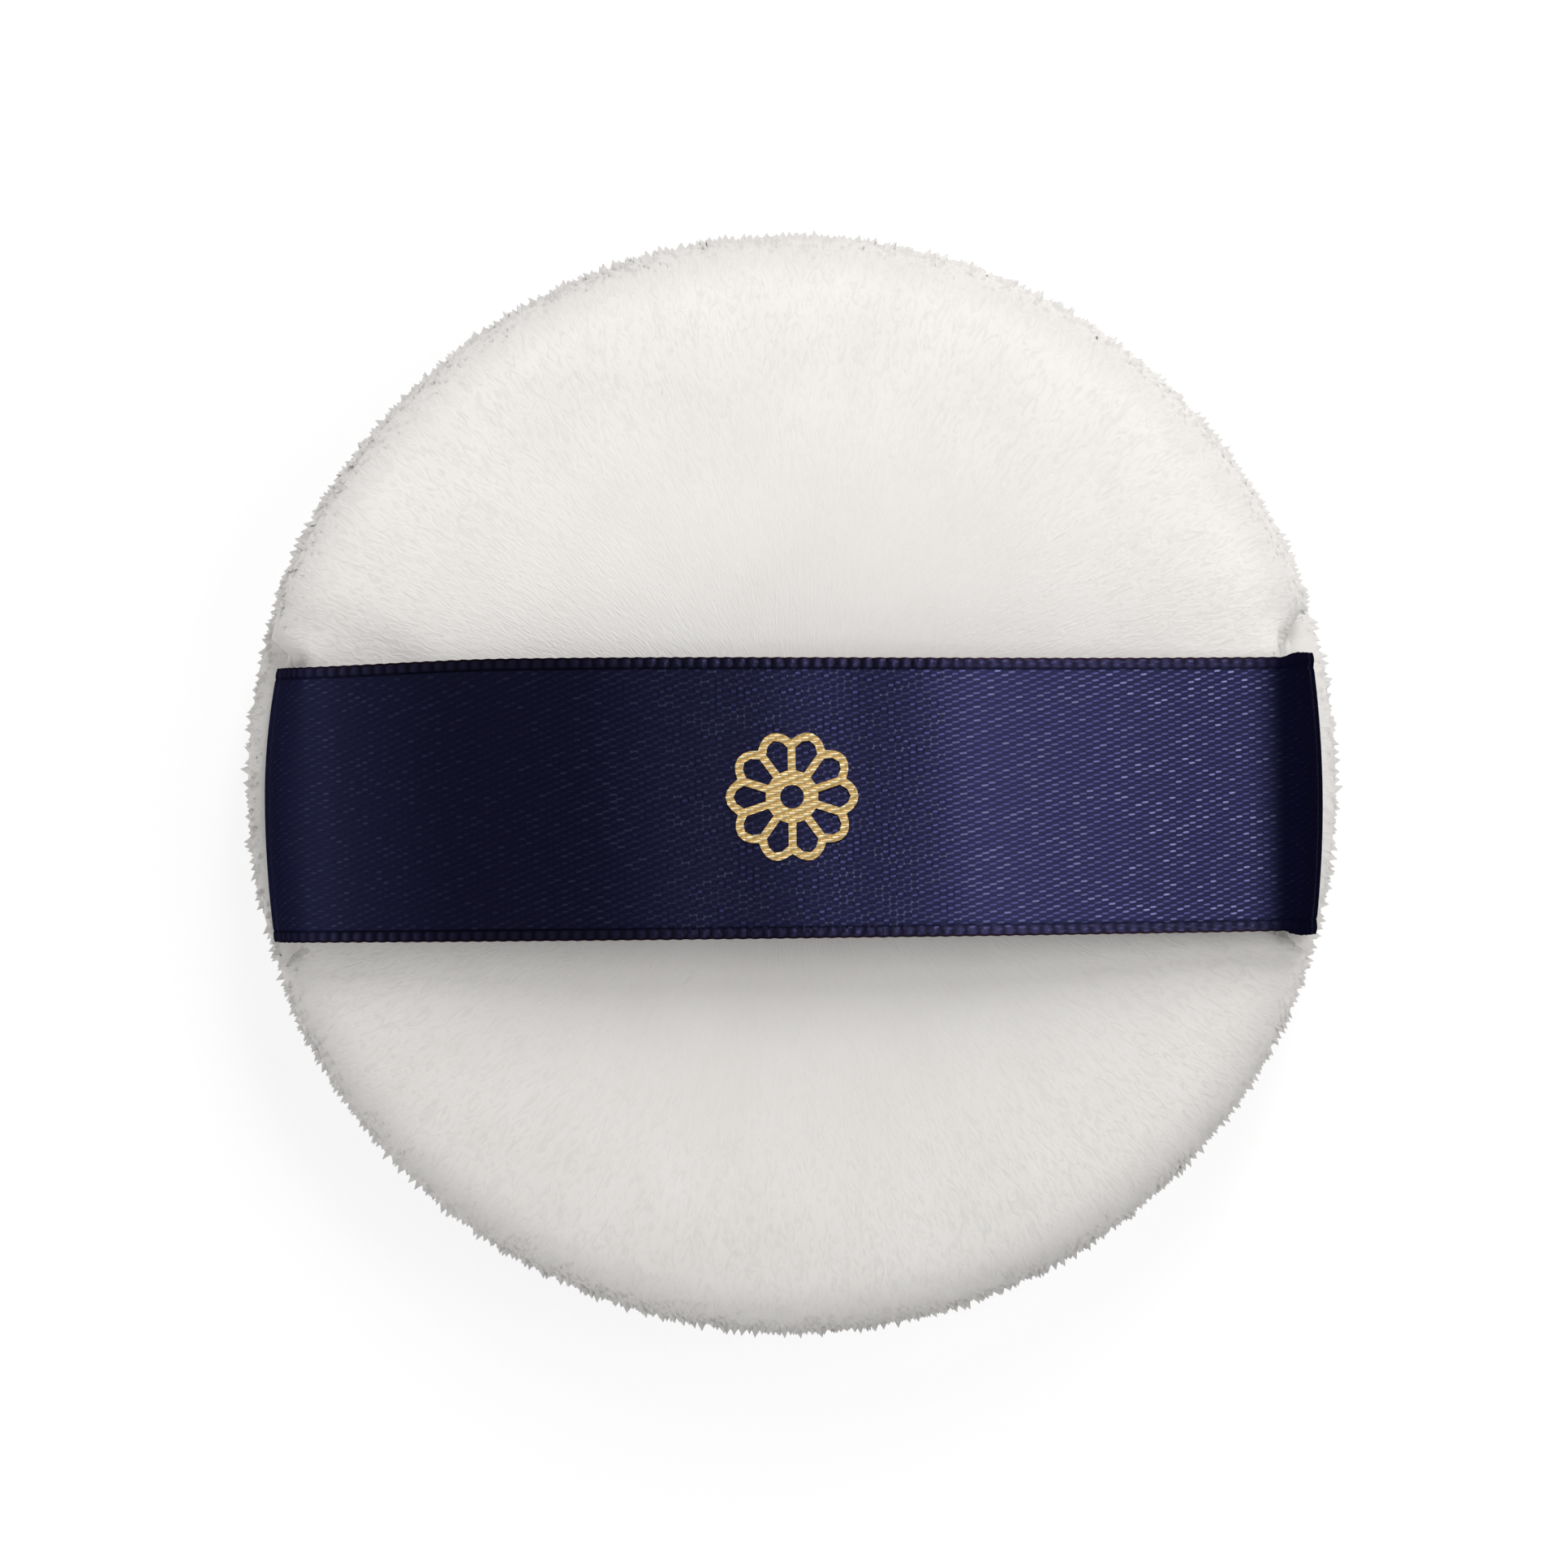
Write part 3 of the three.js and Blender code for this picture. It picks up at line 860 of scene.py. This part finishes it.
foil, tree, shader = new_finish("gold_foil", {"Metallic": 1.0, "Roughness": 0.45})
place = add(tree, "ShaderNodeTexCoord").outputs["Object"]
place = add(tree, "ShaderNodeVectorMath", {0: place, "Scale": 1000.0}, operation="SCALE")
floats = woven(tree, place.outputs[0], 0.016, 0.12)
shade = blend_colors(tree, floats["Float"], foil_dark, foil_bright)
tree.links.new(shade, shader.inputs["Base Color"])
tree.links.new(bump(tree, floats["Height"], 0.001), shader.inputs["Normal"])
finish_node("foil_rosette", foil)

# Studio: a plain white floor that keeps the puff's shadow, a soft light beyond the top of the
# picture, one from the right and a weak one from the left, and a camera straight above the back.
floor_size = 3.0
view_width = 0.1130
view_level = 0.0090
camera_shift = -0.00056
camera_roll = np.radians(-0.69)
focal_length = 200
sensor = 36
paper_glow = 1.06
paper_glow_share = 0.8
sky_level = 0.18
skyline_level = 0.27

corners = np.array([[-1, -1, 0], [1, -1, 0], [1, 1, 0], [-1, 1, 0]]) * floor_size / 2
floor = new_object("floor", mesh_of("floor", corners, [[0, 1, 2, 3]]))
paper, tree, shader = new_finish(
    "white_paper",
    {"Base Color": (0.9, 0.9, 0.9, 1), "Roughness": 0.9},
)
path = add(tree, "ShaderNodeLightPath")
seen = math(tree, "MAXIMUM", path.outputs["Is Camera Ray"], path.outputs["Is Glossy Ray"])
seen = math(tree, "MAXIMUM", seen, path.outputs["Is Transmission Ray"])
glow = add(tree, "ShaderNodeEmission", {"Strength": paper_glow}).outputs[0]
glow_share = math(tree, "MULTIPLY", seen, paper_glow_share)
mixed = add(tree, "ShaderNodeMixShader", {0: glow_share, 1: shader.outputs[0], 2: glow})
tree.links.new(mixed.outputs[0], tree.nodes["Material Output"].inputs["Surface"])
floor.data.materials.append(paper)

world = bpy.data.worlds.new("studio")
bpy.context.scene.world = world
world.use_nodes = True
tree = world.node_tree
path = add(tree, "ShaderNodeLightPath")
direction = add(tree, "ShaderNodeTexCoord").outputs["Generated"]
height = add(tree, "ShaderNodeSeparateXYZ", {0: direction}).outputs["Z"]
low = ramp(tree, height, 0.15, 0.55, 1.0, 0.0)
mirrored = math(tree, "MAXIMUM", path.outputs["Is Glossy Ray"], path.outputs["Is Transmission Ray"])
mirrored = math(tree, "MULTIPLY", mirrored, low)
seen = math(tree, "MAXIMUM", path.outputs["Is Camera Ray"], mirrored)
level = math(tree, "ADD", sky_level, math(tree, "MULTIPLY", low, skyline_level))
level = math(tree, "MAXIMUM", seen, level)
tree.links.new(level, tree.nodes["Background"].inputs["Strength"])
tree.nodes["Background"].inputs["Color"].default_value = (1, 1, 1, 1)


def soft_light(name, position, width, height, power):
    light = bpy.data.lights.new(name, "AREA")
    light.shape = "RECTANGLE"
    light.size = width
    light.size_y = height
    light.energy = power
    lamp = new_object(name, light)
    lamp.location = position
    lamp.rotation_euler = Vector(position).to_track_quat("Z", "Y").to_euler()
    return lamp


soft_light("top_softbox", (0.28, 1.03, 0.80), 0.25, 1.00, 10.4)
soft_light("right_softbox", (0.75, 0.10, 1.00), 0.80, 0.66, 6.7)
soft_light("left_reflector", (-1.05, -0.40, 0.45), 0.90, 0.60, 4.8)

camera = new_object("camera", bpy.data.cameras.new("camera"))
camera.data.lens = focal_length
camera.data.sensor_width = sensor
distance = view_width * focal_length / sensor
camera.location = (camera_shift, 0.0, view_level + distance)
camera.rotation_euler = (0, 0, camera_roll)
bpy.context.scene.camera = camera
bpy.context.scene.view_settings.view_transform = "Standard"

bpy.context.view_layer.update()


def plain(box):
    return [[float(number) for number in corner] for corner in box]
